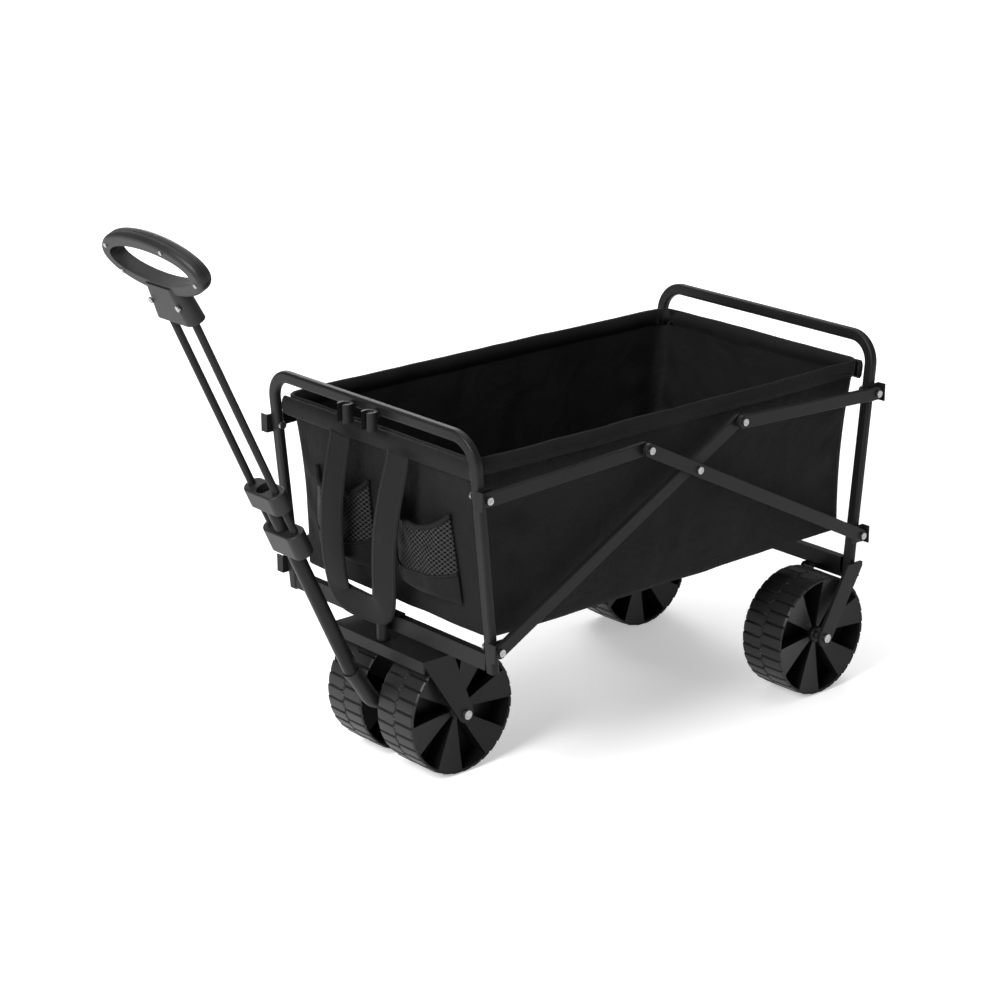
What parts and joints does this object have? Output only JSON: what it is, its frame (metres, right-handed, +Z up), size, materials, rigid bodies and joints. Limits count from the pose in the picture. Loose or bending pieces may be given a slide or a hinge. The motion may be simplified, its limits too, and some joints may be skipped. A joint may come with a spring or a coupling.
{
  "type": "folding camp wagon",
  "caption": "Folding wagon: two hoop frames on crossed bars, a soft tub, wide wheels and a steered telescopic pull handle.",
  "frame": {"origin": "middle of the box round the whole object, on the floor the wheels stand on", "axes": "+X towards the rear of the wagon, away from the handle; +Y to the far side; +Z up"},
  "size_m": [1.2989, 0.5772, 0.9428],
  "materials": {
    "powder_coat": "satin",
    "steel_bolt": "satin",
    "tread_rubber": "matte",
    "wheel_plastic": "semi-gloss",
    "moulded_plastic": "matte",
    "canvas": "matte",
    "webbing": "matte",
    "pocket_cloth": "matte"
  },
  "bodies": {
    "front_frame": {"front_hoop": "powder_coat", "front_crossbar": "powder_coat", "front_bracket_near": "powder_coat", "front_bracket_far": "powder_coat", "front_bolts_near": "steel_bolt", "front_bolts_far": "steel_bolt", "kingpin_housing": "powder_coat", "rod_clips": "moulded_plastic", "tub": "canvas", "floor_mat": "canvas", "pocket_near": "pocket_cloth", "pocket_far": "pocket_cloth", "strap": "webbing"},
    "rear_frame": {"rear_hoop": "powder_coat", "rear_crossbar": "powder_coat", "rear_bracket_near": "powder_coat", "rear_bracket_far": "powder_coat", "rear_bolts_near": "steel_bolt", "rear_bolts_far": "steel_bolt", "rear_fork_near": "powder_coat", "rear_fork_far": "powder_coat", "rear_axle_near": "steel_bolt", "rear_axle_far": "steel_bolt"},
    "yoke": {"yoke": "powder_coat", "front_axle": "steel_bolt", "kingpin": "steel_bolt"},
    "handle_post": {"handle_post": "powder_coat", "post_collar": "moulded_plastic"},
    "handle_grip": {"handle_rods": "powder_coat", "rod_collar": "moulded_plastic", "grip_block": "moulded_plastic", "grip_ring": "moulded_plastic", "grip_bolts": "steel_bolt"},
    "inner_diagonal_near": {"inner_diagonal_near": "powder_coat"},
    "outer_diagonal_near": {"outer_diagonal_near": "powder_coat", "cross_bolt_near": "steel_bolt", "front_knee_bolt_near": "steel_bolt"},
    "front_link_near": {"front_link_near": "powder_coat"},
    "rear_link_near": {"rear_link_near": "powder_coat", "rear_knee_bolt_near": "steel_bolt"},
    "front_wheel_near": {"front_wheel_near_tyre": "tread_rubber", "front_wheel_near_core": "wheel_plastic"},
    "rear_wheel_near": {"rear_wheel_near_tyre": "tread_rubber", "rear_wheel_near_core": "wheel_plastic"},
    "inner_diagonal_far": {"inner_diagonal_far": "powder_coat"},
    "outer_diagonal_far": {"outer_diagonal_far": "powder_coat", "cross_bolt_far": "steel_bolt", "front_knee_bolt_far": "steel_bolt"},
    "front_link_far": {"front_link_far": "powder_coat"},
    "rear_link_far": {"rear_link_far": "powder_coat", "rear_knee_bolt_far": "steel_bolt"},
    "front_wheel_far": {"front_wheel_far_tyre": "tread_rubber", "front_wheel_far_core": "wheel_plastic"},
    "rear_wheel_far": {"rear_wheel_far_tyre": "tread_rubber", "rear_wheel_far_core": "wheel_plastic"}
  },
  "joints": [
    {"name": "fold", "type": "hinge", "parent": "front_frame", "child": "inner_diagonal_near", "pos_m": [-0.2074, -0.269, 0.274], "axis": [0, -1, 0], "range_deg": [0, 51.73], "deforming": ["tub", "floor_mat", "pocket_near", "pocket_far", "strap"]},
    {"name": "cross_near", "type": "hinge", "parent": "inner_diagonal_near", "child": "outer_diagonal_near", "pos_m": [0.2016, -0.269, 0.48047], "axis": [0, -1, 0], "range_deg": [-93.64, 0]},
    {"name": "rear_frame_turn", "type": "hinge", "parent": "outer_diagonal_near", "child": "rear_frame", "pos_m": [0.6106, -0.269, 0.274], "axis": [0, -1, 0], "range_deg": [0, 51.93]},
    {"name": "inner_far_turn", "type": "hinge", "parent": "front_frame", "child": "inner_diagonal_far", "pos_m": [-0.2074, 0.269, 0.274], "axis": [0, -1, 0], "range_deg": [0, 51.93]},
    {"name": "outer_far_turn", "type": "hinge", "parent": "rear_frame", "child": "outer_diagonal_far", "pos_m": [0.6106, 0.269, 0.274], "axis": [0, -1, 0], "range_deg": [-51.93, 0]},
    {"name": "front_link_near_turn", "type": "hinge", "parent": "front_frame", "child": "front_link_near", "pos_m": [-0.2314, -0.269, 0.522], "axis": [0, -1, 0], "range_deg": [0, 75.21]},
    {"name": "rear_link_near_turn", "type": "hinge", "parent": "rear_frame", "child": "rear_link_near", "pos_m": [0.6346, -0.269, 0.522], "axis": [0, -1, 0], "range_deg": [-75.21, 0]},
    {"name": "front_link_far_turn", "type": "hinge", "parent": "front_frame", "child": "front_link_far", "pos_m": [-0.2314, 0.269, 0.522], "axis": [0, -1, 0], "range_deg": [0, 75.21]},
    {"name": "rear_link_far_turn", "type": "hinge", "parent": "rear_frame", "child": "rear_link_far", "pos_m": [0.6346, 0.269, 0.522], "axis": [0, -1, 0], "range_deg": [-75.21, 0]},
    {"name": "steering", "type": "hinge", "parent": "front_frame", "child": "yoke", "pos_m": [-0.2179, 0, 0.23], "axis": [0, 0, 1], "range_deg": [-45, 45]},
    {"name": "handle_pitch", "type": "hinge", "parent": "yoke", "child": "handle_post", "pos_m": [-0.1454, 0, 0.1057], "axis": [0, 1, 0], "range_deg": [-55, 10]},
    {"name": "handle_slide", "type": "slide", "parent": "handle_post", "child": "handle_grip", "axis": [0.4242, 0, -0.9056], "range_m": [0, 0.23]},
    {"name": "front_wheel_near_spin", "type": "hinge", "parent": "yoke", "child": "front_wheel_near", "pos_m": [-0.1454, -0.065, 0.1057], "axis": [0, 1, 0], "continuous": true},
    {"name": "front_wheel_far_spin", "type": "hinge", "parent": "yoke", "child": "front_wheel_far", "pos_m": [-0.1454, 0.065, 0.1057], "axis": [0, 1, 0], "continuous": true},
    {"name": "rear_wheel_near_spin", "type": "hinge", "parent": "rear_frame", "child": "rear_wheel_near", "pos_m": [0.5326, -0.2165, 0.1057], "axis": [0, 1, 0], "continuous": true},
    {"name": "rear_wheel_far_spin", "type": "hinge", "parent": "rear_frame", "child": "rear_wheel_far", "pos_m": [0.5326, 0.2165, 0.1057], "axis": [0, 1, 0], "continuous": true}
  ],
  "couplings": [
    {"joint": "cross_near", "follows": "fold", "ratio": -1.8062},
    {"joint": "rear_frame_turn", "follows": "fold", "ratio": 1},
    {"joint": "inner_far_turn", "follows": "fold", "ratio": 1},
    {"joint": "outer_far_turn", "follows": "fold", "ratio": -1},
    {"joint": "front_link_near_turn", "follows": "fold", "ratio": 1.45},
    {"joint": "rear_link_near_turn", "follows": "fold", "ratio": -1.45},
    {"joint": "front_link_far_turn", "follows": "fold", "ratio": 1.45},
    {"joint": "rear_link_far_turn", "follows": "fold", "ratio": -1.45}
  ]
}
